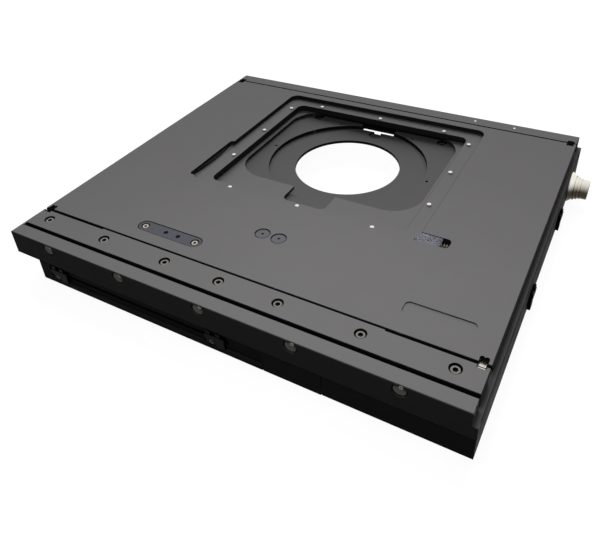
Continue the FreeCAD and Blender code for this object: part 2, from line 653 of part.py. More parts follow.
# The top plate with its stepped frame for sample holders.
def make_top_plate():
    recess = cell("recess_half")
    frame_left = cell("frame_middle") - cell("frame_half")
    frame_right = cell("frame_middle") + cell("frame_half")
    piece = new_body("top_plate")
    plan = new_sketch(piece, "XY_Plane", plate_low)
    rectangle(plan, -half, half, plate_front, plate_back)
    pad(piece, plan, cell("plate_thickness"))
    break_edges(piece, cell("edge_chamfer"), top, (-half, half), (plate_front, plate_back))
    rails = new_sketch(piece, "XY_Plane", plate_low)
    rectangle(rails, -half - past, half + past, plate_front - past, plate_front + undercut)
    rectangle(rails, -half - past, half + past, plate_back - undercut, plate_back + past)
    pocket(piece, rails, undercut_top - plate_low, upward=True)

    step_plan = (-recess, recess, cell("recess_front"), cell("recess_back"))
    cut_rectangle(piece, top, *step_plan, cell("recess_depth"))
    round_corners(piece, cell("recess_round"), corners_of(*step_plan))
    frame_plan = (frame_left, frame_right, cell("frame_front"), cell("frame_back"))
    cut_rectangle(piece, top, *frame_plan, cell("plate_thickness") + past)
    round_corners(piece, cell("frame_round"), corners_of(*frame_plan))
    break_rims(piece, cell("rim_chamfer"), ((top, step_plan), (ledge, frame_plan)))
    drill(piece, "XY_Plane", ledge, levelling_places, cell("pin_radius") + cell("thread_play"),
          ledge - plate_low + past)

    leaf_wall = -recess - cell("leaf_slot")
    leaf_plan = (leaf_wall, past - recess, cell("leaf_front"), cell("leaf_back"))
    cut_rectangle(piece, top, *leaf_plan, cell("leaf_depth"))
    leaf_ends = [(leaf_wall, cell("leaf_front")), (leaf_wall, cell("leaf_back"))]
    round_corners(piece, cell("leaf_round"), leaf_ends)
    clamp_end = cell("clamp_end")
    clamp_front = cell("clamp_front")
    clamp_back = cell("clamp_back")
    cut_rectangle(piece, top, recess - cell("clamp_inlet"), clamp_end, clamp_front, clamp_back,
                  cell("clamp_depth"))
    round_corners(piece, cell("clamp_round"), [(clamp_end, clamp_front), (clamp_end, clamp_back)])
    guide = new_sketch(piece, "XY_Plane", top - cell("clamp_depth"))
    play = cell("clamp_guide_play")
    stadium(guide, cell("clamp_screw_x") - play, cell("clamp_screw_x") + cell("clamp_travel") + play,
            cell("clamp_screw_y"), cell("clamp_shank") + play)
    pocket(piece, guide, cell("clamp_guide"))

    oval = new_sketch(piece, "XY_Plane", top)
    stadium(oval, *oval_screw_places, cell("oval_y"), cell("oval_radius"))
    pocket(piece, oval, cell("oval_depth"))
    drill(piece, "XY_Plane", top - cell("oval_depth"), [(x, cell("oval_y")) for x in oval_screw_places],
          cell("oval_shank") + cell("thread_play"), cell("oval_thread_depth"))
    drill(piece, "XY_Plane", top, [(x, cell("plug_y")) for x in plug_places],
          cell("plug_radius") + cell("inlay_gap"), cell("plug_depth"))
    panel_plan = (cell("panel_left"), cell("panel_right"), cell("panel_front"), cell("panel_back"))
    cut_rectangle(piece, top, *panel_plan, cell("panel_depth"))
    round_corners(piece, cell("panel_round"), corners_of(*panel_plan))

    play = cell("coil_play")
    cut_rectangle(piece, plate_low, -cell("x_yoke_half") - play, cell("x_yoke_half") + play,
                  cell("coil_front") - play, cell("coil_back") + play, x_yoke_top - plate_low, upward=True)
    play = cell("scale_play")
    cut_rectangle(piece, plate_low, -cell("x_scale_left") - play, -cell("x_scale_right") + play,
                  cell("x_head_front") - play, cell("x_head_back") + play, cell("scale_sheet"), upward=True)

    for edge, inward in ((plate_front, 1), (plate_back, -1)):
        cut_rail_windows(piece, edge, inward)
        middle = half - cell("window_inset") - cell("window_width") / 2
        reach = cell("lobe_pitch") / 2
        lobes = [(middle * sign + reach * step, edge + cell("window_reach") * inward)
                 for sign in (-1, 1) for step in (-1, 1)]
        drill(piece, "XY_Plane", top, lobes, cell("lobe_radius"), top - undercut_top)


def make_plate_fittings():
    pins = new_body("levelling_screws")
    pin_low = plate_low + cell("pin_lift")
    pin_high = ledge + cell("pin_proud")
    rods(pins, "XY_Plane", pin_low, levelling_places, cell("pin_radius"), pin_high - pin_low)

    oval_y = cell("oval_y")
    floor = top - cell("oval_depth")
    face = top - cell("sunk")
    screws = [(x, oval_y) for x in oval_screw_places]
    oval = new_body("accessory_plate")
    shape = new_sketch(oval, "XY_Plane", floor)
    stadium(shape, *oval_screw_places, oval_y, cell("oval_radius") - cell("inlay_gap"))
    pad(oval, shape, face - floor)
    seat_radius = cell("oval_head_radius") + cell("oval_seat_play")
    drill(oval, "XY_Plane", face, screws, seat_radius, cell("oval_head_depth"))
    drill(oval, "XY_Plane", face, screws, cell("oval_shank") + cell("fit_play"), cell("oval_depth") + past)
    middle = cell("accessory_shift") - cell("oval_middle")
    holes = [(cell("accessory_pitch") * sign / 2 + middle, oval_y) for sign in (-1, 1)]
    drill(oval, "XY_Plane", face, holes, cell("accessory_hole"), cell("oval_depth") + past)
    head_low = face - cell("oval_head_depth")
    make_screws("accessory_screws", "XY_Plane", screws, cell("oval_head_radius"), head_low,
                cell("oval_head_depth") - cell("sunk"), cell("oval_shank"), floor - cell("oval_thread_depth"),
                cell("oval_key_reach"), cell("oval_head_depth") / 2)

    plugs = new_body("hole_plugs")
    spots = [(x, cell("plug_y")) for x in plug_places]
    plug_low = top - cell("plug_depth")
    rods(plugs, "XY_Plane", plug_low, spots, cell("plug_radius"), face - plug_low)
    drill(plugs, "XY_Plane", face, spots, cell("plug_hole"), cell("plug_hole_depth"))


def make_leaf_spring():
    # A bowed strip in the slot of the left wall; it touches the wall at both ends.
    wall = -(cell("recess_half") + cell("leaf_slot")).value
    front = (cell("leaf_front") + cell("leaf_round") + cell("fit_play")).value
    back = (cell("leaf_back") - cell("leaf_round") - cell("fit_play")).value
    low = (top - cell("leaf_depth")).value
    crown = FreeCAD.Vector(wall + cell("leaf_bow").value, (front + back) / 2, low)
    outer = [FreeCAD.Vector(wall, front, low), crown, FreeCAD.Vector(wall, back, low)]
    inner = [point + FreeCAD.Vector(cell("leaf_sheet").value, 0, 0) for point in outer]
    edges = [Part.Arc(*outer).toShape(), Part.LineSegment(outer[2], inner[2]).toShape(),
             Part.Arc(*reversed(inner)).toShape(), Part.LineSegment(inner[0], outer[0]).toShape()]
    piece = doc.addObject("Part::Feature", "leaf_spring")
    piece.Label = "leaf_spring"
    piece.Shape = Part.Face(Part.Wire(edges)).extrude(FreeCAD.Vector(0, 0, cell("leaf_height").value))
    place(piece)


# The spring-loaded clamp that holds a sample frame from the front right corner.
def make_clamp():
    left = cell("recess_half") - cell("clamp_nose")
    right = left + cell("clamp_length")
    low = top - cell("clamp_depth") + cell("fit_play")
    high = top - cell("clamp_sunk")
    front = cell("clamp_front") + cell("clamp_side_play")
    back = cell("clamp_back") - cell("clamp_side_play")
    screw = [(cell("clamp_screw_x"), cell("clamp_screw_y"))]
    head_low = high - cell("clamp_head_height")
    screw_low = top - cell("clamp_depth") - cell("clamp_guide") + cell("clamp_guide_play")
    spring_y = (front + back) / 2
    spring_z = (low + high) / 2
    play = cell("fit_play")
    piece = new_body("clamp_block")
    plan = new_sketch(piece, "XY_Plane", low)
    rectangle(plan, left, right, front, back)
    pad(piece, plan, high - low)
    round_corners(piece, cell("clamp_block_round"), corners_of(left, right, front, back))
    drill(piece, "XY_Plane", high, screw, cell("clamp_head") + play, cell("clamp_head_height"))
    drill(piece, "XY_Plane", high, screw, cell("clamp_shank") + cell("thread_play"), high - low + past)
    drill(piece, "YZ_Plane", right, [(spring_y, spring_z)], cell("spring_bore"), cell("spring_bore_depth"))

    make_screws("clamp_screw", "XY_Plane", screw, cell("clamp_head"), head_low,
                cell("clamp_head_height") - play, cell("clamp_shank"), screw_low, cell("clamp_key_reach"),
                cell("clamp_key_depth"))

    wire = cell("spring_wire")
    coil_radius = cell("spring_radius")
    start = right - cell("spring_bore_depth") + play
    spring = new_body("clamp_spring", start, spring_y, spring_z, 90, (0, 1, 0))
    section = new_sketch(spring, "XZ_Plane", 0)
    rectangle(section, coil_radius - wire / 2, coil_radius + wire / 2, 0, wire)
    coil = spring.newObject("PartDesign::AdditiveHelix", "clamp_spring_coil")
    coil.Profile = section
    coil.ReferenceAxis = (section, ["V_Axis"])
    coil.Mode = 0
    coil.setExpression("Pitch", cell("spring_pitch").text)
    coil.setExpression("Height", (cell("clamp_end") - play - start - wire).text)


# Flat linear motors and their scales: magnets on one part, coil and head on the other.
def make_x_motor():
    flange = cell("coil_flange_half")
    yoke = cell("x_yoke_half")
    play = cell("scale_play")
    coil = new_body("x_coil")
    foot = new_sketch(coil, "XY_Plane", carriage_low - cell("coil_flange"))
    rectangle(foot, -flange, flange, cell("bay_front"), cell("motor_bay_front"))
    pad(coil, foot, cell("coil_flange"))
    core = new_sketch(coil, "XY_Plane", carriage_low)
    rectangle(core, -cell("coil_half"), cell("coil_half"), cell("coil_front"), cell("coil_back"))
    pad(coil, core, deck - cell("coil_sunk") - carriage_low)
    block("x_yoke", -yoke, yoke, cell("coil_front"), cell("coil_back"), x_yoke_low, x_yoke_top)
    make_magnets("x_magnets", "XY_Plane", x_magnet_low, cell("coil_front"), cell("coil_back"), -yoke, yoke)
    block("x_scale", -cell("x_scale_left"), -cell("x_scale_right"), cell("x_head_front"), cell("x_head_back"),
          plate_low + cell("thread_play"), plate_low + cell("scale_sheet"))
    block("x_read_head", -cell("x_head_left"), -cell("x_head_right"), cell("x_head_front"),
          cell("x_head_back"), deck - cell("x_head_depth"), deck - play)


def make_y_motor():
    base = cell("base_half")
    low = cell("y_magnet_low")
    high = cell("y_magnet_high")
    inset = cell("y_magnet_inset")
    span = (cell("y_magnet_front"), cell("y_magnet_back"))
    yoke_face = base + cell("yoke_sheet")
    coil_face = yoke_face + cell("magnet_sheet") + cell("air_gap")
    coil_front = cell("y_coil_front")
    block("y_yoke", base, yoke_face, *span, low, high)
    make_magnets("y_magnets", "YZ_Plane", yoke_face, low + inset, high - inset, *span)
    block("y_coil", coil_face, cell("housing_side"), coil_front, coil_front + cell("y_coil_length"),
          low - inset, high + inset)
    block("y_scale", -base - cell("scale_sheet"), -base, *span, cell("y_scale_low"), cell("y_scale_high"))
    near = -base - cell("y_head_gap")
    reach = -base - cell("y_head_reach")
    flange_near = -base - cell("y_flange_near")
    flange_far = -base - cell("y_flange_far")
    head_low = cell("y_head_low")
    head_high = cell("y_head_high")
    head = new_body("y_read_head")
    profile = new_sketch(head, "XZ_Plane", -cell("y_head_back"))
    outline(profile, [(near, head_low), (near, head_high), (flange_near, head_high),
                      (flange_near, carriage_low), (flange_far, carriage_low), (flange_far, head_high),
                      (reach, head_high), (reach, head_low)])
    pad(head, profile, cell("y_head_length"))


def make_magnets(label, plane, low, near, far, start, finish):
    # Plate magnets in a row, set side by side on the yoke.
    pitch = (finish - start) / magnet_count
    gap = cell("magnet_gap") / 2
    piece = new_body(label)
    plan = new_sketch(piece, plane, low)
    for step in range(magnet_count):
        rectangle(plan, start + pitch * step + gap, start + pitch * (step + 1) - gap, near, far)
    pad(piece, plan, cell("magnet_sheet"))


# The housing under the carriage, its stop rails and the cover plate between the seams.
def make_lower_housing():
    left = -cell("housing_left")
    rail = cell("stop_rail_depth")
    cover = cell("cover_sheet")
    first = cell("first_seam")
    second = cell("second_seam")
    rail_front = cell("side_rail_front")
    rail_back = rail_front + cell("side_rail_length")
    inner = side - rail
    box = cell("housing_front_depth")
    flank = cell("housing_side")
    wall = cell("housing_wall")
    piece = new_body("lower_housing")
    plan = new_sketch(piece, "XY_Plane", housing_low)
    outline(plan, [(left, rail), (first, rail), (first, cover), (second, cover), (second, 0), (side, 0),
                   (side, rail_front), (inner, rail_front), (inner, rail_back), (side, rail_back),
                   (side, depth), (flank, depth), (flank, box), (left, box)])
    pad(piece, plan, carriage_low - housing_low)
    break_edges(piece, cell("edge_chamfer"), housing_low, (side,), (0,))
    break_edges(piece, cell("seam_chamfer"), carriage_low, (side,), (0,))
    near = cell("housing_front_wall")
    right = side - cell("housing_side_wall")
    hollow = new_sketch(piece, "XY_Plane", carriage_low)
    outline(hollow, [(left + wall, near), (right, near), (right, depth - wall), (flank + wall, depth - wall),
                     (flank + wall, box - wall), (left + wall, box - wall)])
    pocket(piece, hollow, carriage_low - housing_low - cell("housing_floor"))
    drill(piece, "YZ_Plane", side, [(cell("connector_y"), cell("connector_z"))],
          cell("connector_neck") + cell("fit_play"), cell("housing_side_wall") + past)

    plate = new_body("access_cover")
    face = new_sketch(plate, "XY_Plane", housing_low)
    rectangle(face, first + cell("seam_width"), second - cell("seam_width"), 0, cover)
    pad(plate, face, carriage_low - housing_low)
    break_edges(plate, cell("seam_chamfer"), carriage_low, (), (0,))
    make_x_stop_rail(left, first - left)
    make_stop_rail("y_stop_rail", side, rail_front, 90, cell("side_rail_length"), 0, cell("y_groove_start"),
                   cell("y_groove_end"))


def make_stop_rail(label, x, y, turn, length, face, start, finish):
    # A bar with a groove along its face, which looks towards -y before turning.
    back = cell("stop_rail_depth")
    bevel = cell("seam_chamfer")
    piece = new_body(label, x, y, 0, turn)
    profile = new_sketch(piece, "YZ_Plane", 0)
    outline(profile, [(0, housing_low), (back, housing_low), (back, carriage_low), (bevel, carriage_low),
                      (0, carriage_low - bevel)])
    pad(piece, profile, length)
    groove = new_sketch(piece, "XZ_Plane", 0)
    rectangle(groove, start, finish, cell("groove_low"), cell("groove_high"))
    pocket(piece, groove, cell("stop_groove_depth") + face)
    return piece


def make_x_stop_rail(left, length):
    # The front rail also has a shallow channel over a lip, so that its stops lie nearly flush.
    start = cell("channel_start")
    face = cell("channel_depth")
    piece = make_stop_rail("x_stop_rail", left, 0, 0, length, face, start, cell("x_groove_end"))
    channel = new_sketch(piece, "XZ_Plane", 0)
    rectangle(channel, start, length + past, cell("lip_height"), carriage_low + past)
    pocket(piece, channel, face)


# A travel stop: a plate with two lugs and a tongue in the rail's groove, jammed by a set screw.  The hand
# says on which end the screw is.
def make_stop(name, x, y, turn, hand):
    length = cell("stop_length")
    reach = cell("stop_reach")
    gap = cell("stop_gap")
    low = cell("stop_low")
    high = cell("stop_high")
    play = cell("tongue_play")
    tongue_back = cell("tongue_reach")
    body = new_body(name, x, y, 0, turn)
    face = new_sketch(body, "XZ_Plane", gap)
    rectangle(face, 0, length * hand, low, high)
    pad(body, face, reach - gap)
    lugs = new_sketch(body, "XZ_Plane", gap)
    for step in (0, 1):
        lug = cell("lug_start") + cell("lug_pitch") * step
        rectangle(lugs, lug * hand, (lug + cell("lug_width")) * hand, high - past, high + cell("lug_rise"))
    pad(body, lugs, reach - gap - cell("lug_step"))
    tongue = new_sketch(body, "XZ_Plane", -tongue_back)
    rectangle(tongue, 0, length * hand, cell("groove_low") + play, cell("groove_high") - play)
    pad(body, tongue, tongue_back + gap)
    seat_cut = new_sketch(body, "XZ_Plane", reach)
    rectangle(seat_cut, -past * hand, cell("stop_seat_width") * hand, low - past, cell("stop_seat_high"))
    pocket(body, seat_cut, cell("stop_seat_depth"))
    screw = [(cell("stop_screw_x") * hand, cell("stop_screw_height"))]
    radius = cell("stop_screw_radius")
    drill(body, "XZ_Plane", reach, screw, radius + cell("thread_play"), reach)

    fastener = new_body(name + "_screw", x, y, 0, turn)
    tip = cell("stop_screw_tip")
    front = reach - cell("stop_seat_depth") + cell("stop_screw_proud")
    rods(fastener, "XZ_Plane", tip, screw, radius, front - tip)
    key = new_sketch(fastener, "XZ_Plane", front)
    hexagon(key, *screw[0], cell("stop_key_reach"))
    pocket(fastener, key, cell("stop_key_depth"))


def make_stops():
    face = cell("channel_depth")
    make_stop("x_stop_left", -cell("x_stop_left_at"), face, 0, 1)
    make_stop("x_stop_right", cell("x_stop_right_at"), face, 0, 1)
    make_stop("y_stop_front", side, cell("y_stop_front_at") + cell("stop_length"), 90, -1)
    make_stop("y_stop_back", side, cell("y_stop_back_at") + cell("stop_length"), 90, -1)


# The round socket on the right side, turned about its own axis.
def make_connector():
    spot = (side, cell("connector_y"), cell("connector_z"), 90, (0, 1, 0))
    reach = cell("connector_reach")
    radius = cell("connector_radius")
    inner = radius - cell("barrel_wall")
    neck = cell("connector_neck")
    flange = cell("connector_flange")
    tail = -cell("connector_tail")
    slope = cell("collar_slope")
    floor = cell("socket_floor")
    bevel = cell("edge_chamfer")
    corners = [(0, tail), (neck, tail), (neck, 0), (flange, 0), (flange, cell("flange_sheet"))]
    for step in (0, 1, 2):
        low = cell("collar_start") + cell("collar_pitch") * step
        high = low + cell("collar_width")
        collar = cell("collar_radius") - cell("collar_fall") * step
        groove = collar - cell("collar_groove")
        corners += [(groove + cell("collar_fall"), low - slope), (collar, low), (collar, high),
                    (groove, high + slope)]
    corners += [(radius, high + slope * 2), (radius, reach - bevel), (radius - bevel, reach), (inner, reach),
                (inner, floor), (0, floor)]
    shell = new_body("connector_shell", *spot)
    profile = new_sketch(shell, "XZ_Plane", 0)
    outline(profile, corners)
    revolve(shell, profile)
    insert = new_body("connector_insert", *spot)
    rods(insert, "XY_Plane", floor, [(0, 0)], inner - cell("thread_play"), cell("insert_height"))
    contacts = new_body("connector_pins", *spot)
    contact_low = floor + cell("insert_height")
    places = [(0, 0)] + around(0, 0, cell("contact_ring"), ring_hole_count)
    rods(contacts, "XY_Plane", contact_low, places, cell("contact_radius"),
         reach - cell("contact_sunk") - contact_low)


make_base_plate()
make_rails()
make_cages()
make_carriage_frame()
make_strips()
make_strip_screws()
make_preload_screws()
make_top_plate()
make_plate_fittings()
make_leaf_spring()
make_clamp()
make_x_motor()
make_y_motor()
make_lower_housing()
make_stops()
make_connector()
doc.recompute()

for item in doc.Objects:
    if "Invalid" in item.State or "Error" in item.State:
        raise RuntimeError(f"{item.Label} failed: {item.State}")
for piece in pieces:
    if piece.Shape.isNull() or not piece.Shape.isValid():
        raise RuntimeError(f"{piece.Label} has no valid shape")
for piece in pieces:
    piece.Shape.exportStep(f"parts/{piece.Label}.step")
    print(piece.Label, round(piece.Shape.Volume, 1), len(piece.Shape.Solids))
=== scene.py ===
import bpy
import bmesh
import json
import math
from mathutils import Matrix, Vector


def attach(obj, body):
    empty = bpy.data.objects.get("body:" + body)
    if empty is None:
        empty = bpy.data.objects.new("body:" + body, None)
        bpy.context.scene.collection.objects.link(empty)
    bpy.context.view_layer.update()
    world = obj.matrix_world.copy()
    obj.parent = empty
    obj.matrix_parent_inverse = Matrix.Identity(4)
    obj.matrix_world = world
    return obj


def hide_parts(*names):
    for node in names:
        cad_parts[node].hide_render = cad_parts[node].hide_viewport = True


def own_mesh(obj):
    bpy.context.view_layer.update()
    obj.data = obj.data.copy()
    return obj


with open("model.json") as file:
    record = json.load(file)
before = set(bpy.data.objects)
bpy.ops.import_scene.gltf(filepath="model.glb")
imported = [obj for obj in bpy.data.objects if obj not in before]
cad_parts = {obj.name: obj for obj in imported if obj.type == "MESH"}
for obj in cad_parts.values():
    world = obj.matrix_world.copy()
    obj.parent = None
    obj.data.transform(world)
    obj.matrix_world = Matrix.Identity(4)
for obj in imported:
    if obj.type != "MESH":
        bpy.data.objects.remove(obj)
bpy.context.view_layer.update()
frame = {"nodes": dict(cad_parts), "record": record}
nodes = frame["nodes"]
print("frame loaded:", len(nodes), "nodes")


# shader helpers

def newTree(material):
    material.use_nodes = True
    tree = material.node_tree
    tree.nodes.clear()
    return tree


def addNode(tree, kind, settings=None, **inputs):
    node = tree.nodes.new(kind)
    for name, value in (settings or {}).items():
        setattr(node, name, value)
    for name, value in inputs.items():
        node.inputs[name.replace("_", " ")].default_value = value
    return node


def addMath(tree, operation, first, second):
    node = addNode(tree, "ShaderNodeMath", {"operation": operation})
    for socket, value in zip(node.inputs, (first, second)):
        if isinstance(value, (int, float)):
            socket.default_value = value
        else:
            tree.links.new(value, socket)
    return node.outputs[0]


def newGroup(name, inputs, outputs):
    group = bpy.data.node_groups.new(name, "ShaderNodeTree")
    for label, kind, value in inputs:
        socket = group.interface.new_socket(label, in_out="INPUT", socket_type=kind)
        if value is not None:
            socket.default_value = value
    for label, kind in outputs:
        group.interface.new_socket(label, in_out="OUTPUT", socket_type=kind)
    return group, group.nodes.new("NodeGroupInput"), group.nodes.new("NodeGroupOutput")


# bead-blasted grain: fine pits, soft blotches and a slow drift of tone
blastGrain = {"pitDetail": 2, "blotchScale": 55, "blotchDetail": 4, "driftScale": 7, "driftDetail": 2,
              "noiseMiddle": 0.5, "roughSwing": 0.16}


def makeBlastGroup():
    group, given, result = newGroup(
        "blastGrain",
        [("Vector", "NodeSocketVector", None), ("Pits", "NodeSocketFloat", 2600.0),
         ("Contrast", "NodeSocketFloat", 0.2), ("Roughness", "NodeSocketFloat", 0.5)],
        [("Tone", "NodeSocketFloat"), ("Roughness", "NodeSocketFloat"), ("Height", "NodeSocketFloat")])
    look = blastGrain
    layers = [addNode(group, "ShaderNodeTexNoise", Detail=look["pitDetail"]),
              addNode(group, "ShaderNodeTexNoise", Scale=look["blotchScale"], Detail=look["blotchDetail"]),
              addNode(group, "ShaderNodeTexNoise", Scale=look["driftScale"], Detail=look["driftDetail"])]
    for noise in layers:
        group.links.new(given.outputs["Vector"], noise.inputs["Vector"])
    group.links.new(given.outputs["Pits"], layers[0].inputs["Scale"])
    pits, blotches, drift = [noise.outputs["Fac"] for noise in layers]
    mixed = addMath(group, "ADD", addMath(group, "ADD", pits, blotches), drift)
    centred = addMath(group, "SUBTRACT", mixed, look["noiseMiddle"] * len(layers))
    swing = addMath(group, "MULTIPLY", centred, given.outputs["Contrast"])
    group.links.new(addMath(group, "ADD", swing, 1.0), result.inputs["Tone"])
    rough = addMath(group, "SUBTRACT", blotches, look["noiseMiddle"])
    rough = addMath(group, "MULTIPLY", rough, look["roughSwing"])
    group.links.new(addMath(group, "ADD", given.outputs["Roughness"], rough), result.inputs["Roughness"])
    group.links.new(pits, result.inputs["Height"])
    return group


# rubbed spots where a face is a chamfer, so tilted against all three axes
edgeWear = {"tilt": 0.9, "patchScale": 140, "patchDetail": 3.0, "bareFrom": 0.63, "gain": 4.0}


def makeWearGroup():
    group, given, result = newGroup(
        "edgeWear", [("Vector", "NodeSocketVector", None)], [("Wear", "NodeSocketFloat")])
    geometry = group.nodes.new("ShaderNodeNewGeometry")
    parts = group.nodes.new("ShaderNodeSeparateXYZ")
    group.links.new(geometry.outputs["True Normal"], parts.inputs[0])
    sizes = [addMath(group, "ABSOLUTE", socket, 0.0) for socket in parts.outputs]
    largest = addMath(group, "MAXIMUM", addMath(group, "MAXIMUM", sizes[0], sizes[1]), sizes[2])
    tilted = addMath(group, "LESS_THAN", largest, edgeWear["tilt"])
    patches = addNode(group, "ShaderNodeTexNoise", Scale=edgeWear["patchScale"], Detail=edgeWear["patchDetail"])
    group.links.new(given.outputs["Vector"], patches.inputs["Vector"])
    rubbed = addMath(group, "SUBTRACT", patches.outputs["Fac"], edgeWear["bareFrom"])
    rubbed = addMath(group, "MAXIMUM", addMath(group, "MULTIPLY", rubbed, edgeWear["gain"]), 0.0)
    group.links.new(addMath(group, "MULTIPLY", tilted, rubbed), result.inputs["Wear"])
    return group


# painted shade: upright walls and chamfers take a darker colour, standing in for the shade in slits, recesses and
# the opening
# From is the y behind which they count
paintedWallShade = {"upTo": 0.8}


def makePaintedWallShadeGroup():
    group, given, result = newGroup(
        "paintedWallShade", [("Vector", "NodeSocketVector", None), ("From", "NodeSocketFloat", -1.0)],
        [("Wall", "NodeSocketFloat")])
    geometry = group.nodes.new("ShaderNodeNewGeometry")
    normal = group.nodes.new("ShaderNodeSeparateXYZ")
    group.links.new(geometry.outputs["True Normal"], normal.inputs[0])
    place = group.nodes.new("ShaderNodeSeparateXYZ")
    group.links.new(given.outputs["Vector"], place.inputs[0])
    rise = addMath(group, "ABSOLUTE", normal.outputs["Z"], 0.0)
    upright = addMath(group, "LESS_THAN", rise, paintedWallShade["upTo"])
    behind = addMath(group, "GREATER_THAN", place.outputs["Y"], given.outputs["From"])
    group.links.new(addMath(group, "MULTIPLY", upright, behind), result.inputs["Wall"])
    return group


blastGroup = makeBlastGroup()
wearGroup = makeWearGroup()
paintedWallShadeGroup = makePaintedWallShadeGroup()


def startMaterial(name):
    material = bpy.data.materials.new(name)
    tree = newTree(material)
    place = tree.nodes.new("ShaderNodeTexCoord").outputs["Object"]
    shader = tree.nodes.new("ShaderNodeBsdfPrincipled")
    output = tree.nodes.new("ShaderNodeOutputMaterial")
    tree.links.new(shader.outputs["BSDF"], output.inputs["Surface"])
    return material, tree, place, shader


def useGroup(tree, group, place, **values):
    node = addNode(tree, "ShaderNodeGroup", {"node_tree": group})
    tree.links.new(place, node.inputs["Vector"])
    for name, value in values.items():
        node.inputs[name].default_value = value
    return node


def addBump(tree, shader, height, strength, distance):
    bump = addNode(tree, "ShaderNodeBump", Strength=strength, Distance=distance)
    tree.links.new(height, bump.inputs["Height"])
    tree.links.new(bump.outputs["Normal"], shader.inputs["Normal"])


def scaleColour(tree, colour, factor):
    scaled = addNode(tree, "ShaderNodeVectorMath", {"operation": "SCALE"})
    scaled.inputs[0].default_value = colour
    tree.links.new(factor, scaled.inputs["Scale"])
    return scaled.outputs["Vector"]


def mixColours(tree, factor, first, second):
    mix = addNode(tree, "ShaderNodeMix", {"data_type": "RGBA"})
    tree.links.new(factor, mix.inputs["Factor"])
    for socket, colour in ((mix.inputs["A"], first), (mix.inputs["B"], second)):
        if isinstance(colour, tuple):
            socket.default_value = (*colour, 1.0)
        else:
            tree.links.new(colour, socket)
    return mix.outputs["Result"]


# anodised and blackened metal, one entry for each shade on the stage
anodisedShades = {
    "black_anodised": {"colour": (0.156, 0.152, 0.154), "rough": 0.62, "pits": 2600, "contrast": 0.06,
                       "gloss": 0.01},
    # the wall colours in the entries below are painted shade on upright faces
    "paintedShadePlate": {"colour": (0.156, 0.152, 0.154), "rough": 0.62, "pits": 2600, "contrast": 0.06,
                    "gloss": 0.01, "wall": (0.028, 0.027, 0.028), "wallFrom": -1.0},
    "paintedShadeCarriage": {"colour": (0.156, 0.152, 0.154), "rough": 0.62, "pits": 2600, "contrast": 0.06,
                       "gloss": 0.012, "wall": (0.04, 0.039, 0.04), "wallFrom": -0.14},
    "base_anodised": {"colour": (0.108, 0.105, 0.107), "rough": 0.62, "pits": 2600, "contrast": 0.08,
                      "gloss": 0.02, "wall": (0.012, 0.012, 0.012), "wallFrom": -1.0},
    "housing_black": {"colour": (0.075, 0.075, 0.078), "rough": 0.5, "pits": 2600, "contrast": 0.1,
                      "gloss": 0.006},
    "fitting_grey": {"colour": (0.078, 0.08, 0.092), "rough": 0.45, "pits": 1800, "contrast": 0.3, "gloss": 0.08},
    "plugGrey": {"colour": (0.112, 0.113, 0.122), "rough": 0.45, "pits": 1500, "contrast": 0.5, "gloss": 0.08},
    "clampCast": {"colour": (0.1, 0.102, 0.118), "rough": 0.4, "pits": 900, "contrast": 5.0, "gloss": 0.2},
    # painted shade that darkens the inside of hex sockets
    "socketShadePainted": {"colour": (0.03, 0.03, 0.03), "rough": 0.5, "pits": 2600, "contrast": 0.2, "gloss": 0.03},
    "stop_black": {"colour": (0.006, 0.007, 0.011), "rough": 0.4, "pits": 2600, "contrast": 0.25, "gloss": 0.02},
}
wornColour = (0.3, 0.295, 0.29)
grainBump = {"strength": 0.12, "distance": 0.00004}


def makeAnodised(name, look):
    material, tree, place, shader = startMaterial(name)
    grain = useGroup(tree, blastGroup, place, Pits=look["pits"], Contrast=look["contrast"],
                     Roughness=look["rough"])
    wear = useGroup(tree, wearGroup, place)
    shade = scaleColour(tree, look["colour"], grain.outputs["Tone"])
    # painted shade: upright faces behind From take the darker wall colour
    if "wall" in look:
        paintedWalls = useGroup(tree, paintedWallShadeGroup, place, From=look["wallFrom"])
        shade = mixColours(tree, paintedWalls.outputs["Wall"], shade, look["wall"])
    tree.links.new(mixColours(tree, wear.outputs["Wear"], shade, wornColour), shader.inputs["Base Color"])
    tree.links.new(grain.outputs["Roughness"], shader.inputs["Roughness"])
    shader.inputs["Specular IOR Level"].default_value = look["gloss"]
    addBump(tree, shader, grain.outputs["Height"], grainBump["strength"], grainBump["distance"])
    return material


# bare metals: colour, roughness and how the cutting lines run
metalShades = {
    "rail_steel": {"colour": (0.78, 0.74, 0.65), "rough": 0.24, "stretch": (0.02, 1, 1)},
    "roller_steel": {"colour": (0.72, 0.72, 0.73), "rough": 0.12, "stretch": (1, 1, 1)},
    "screw_steel": {"colour": (0.235, 0.222, 0.2), "rough": 0.34, "stretch": (1, 1, 0.1)},
    "screwBright": {"colour": (0.52, 0.485, 0.42), "rough": 0.34, "stretch": (1, 1, 0.1)},
    "screw_black": {"colour": (0.05, 0.048, 0.043), "rough": 0.36, "stretch": (1, 1, 1)},
    "pin_steel": {"colour": (0.84, 0.81, 0.74), "rough": 0.28, "stretch": (1, 1, 0.1)},
    "spring_steel": {"colour": (0.045, 0.042, 0.038), "rough": 0.3, "stretch": (1, 0.05, 1)},
    "springWire": {"colour": (0.42, 0.35, 0.29), "rough": 0.3, "stretch": (1, 1, 1)},
    "magnet_nickel": {"colour": (0.6, 0.57, 0.52), "rough": 0.25, "stretch": (1, 1, 1)},
    "yoke_steel": {"colour": (0.2, 0.2, 0.21), "rough": 0.4, "stretch": (0.05, 1, 1)},
    "scale_glass": {"colour": (0.7, 0.6, 0.36), "rough": 0.24, "stretch": (1, 1, 1)},
    # the connector's darker underside is painted shade and reflection
    "connector_nickel": {"colour": (0.86, 0.82, 0.73), "rough": 0.2, "stretch": (1, 0.04, 0.04),
                         "underShade": (0.045, 0.036, 0.024), "underShadeLow": 0.013, "underShadeHigh": 0.0205},
    "contact_brass": {"colour": (0.83, 0.62, 0.24), "rough": 0.2, "stretch": (1, 1, 1)},
}
